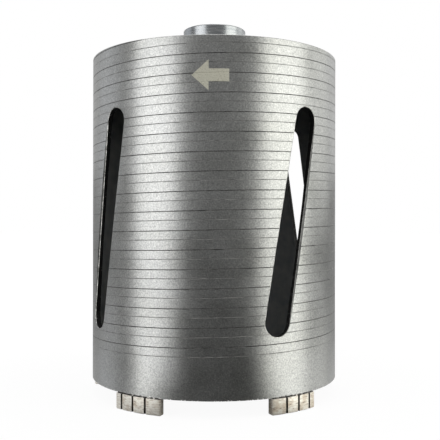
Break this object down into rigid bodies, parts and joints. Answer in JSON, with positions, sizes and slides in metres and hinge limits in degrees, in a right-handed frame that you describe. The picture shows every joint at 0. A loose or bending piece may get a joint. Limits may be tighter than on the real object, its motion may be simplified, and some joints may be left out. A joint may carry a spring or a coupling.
{
  "type": "diamond core bit",
  "caption": "Dry diamond core bit: a slotted steel tube with sintered cutting segments on its rim and a threaded hub on its closed end.",
  "frame": {"origin": "on the drill axis, in the plane of the segments' cutting faces, on which the bit stands", "axes": "+Z along the drill axis towards the threaded hub; the four dust slots face +X, +Y, -X and -Y"},
  "size_m": [0.1161, 0.1163, 0.1714],
  "materials": {
    "barrel_paint": "silver-grey metallic paint with a fine grain, semi-matt",
    "turned_steel": "bare steel, fine turned lines",
    "sintered_segment": "sintered bond of metal and diamond, matt and grainy, ground open at the faces",
    "weld_seam": "bare weld metal with chipped paint at its edges"
  },
  "bodies": {
    "root": {"barrel": "barrel_paint", "end_plate": "barrel_paint", "plate_weld": "barrel_paint", "hub": "turned_steel", "hub_weld": "barrel_paint", "segment_1": "sintered_segment", "segment_2": "sintered_segment", "segment_3": "sintered_segment", "segment_4": "sintered_segment", "segment_5": "sintered_segment", "segment_weld_1": "weld_seam", "segment_weld_2": "weld_seam", "segment_weld_3": "weld_seam", "segment_weld_4": "weld_seam", "segment_weld_5": "weld_seam"}
  },
  "joints": []
}
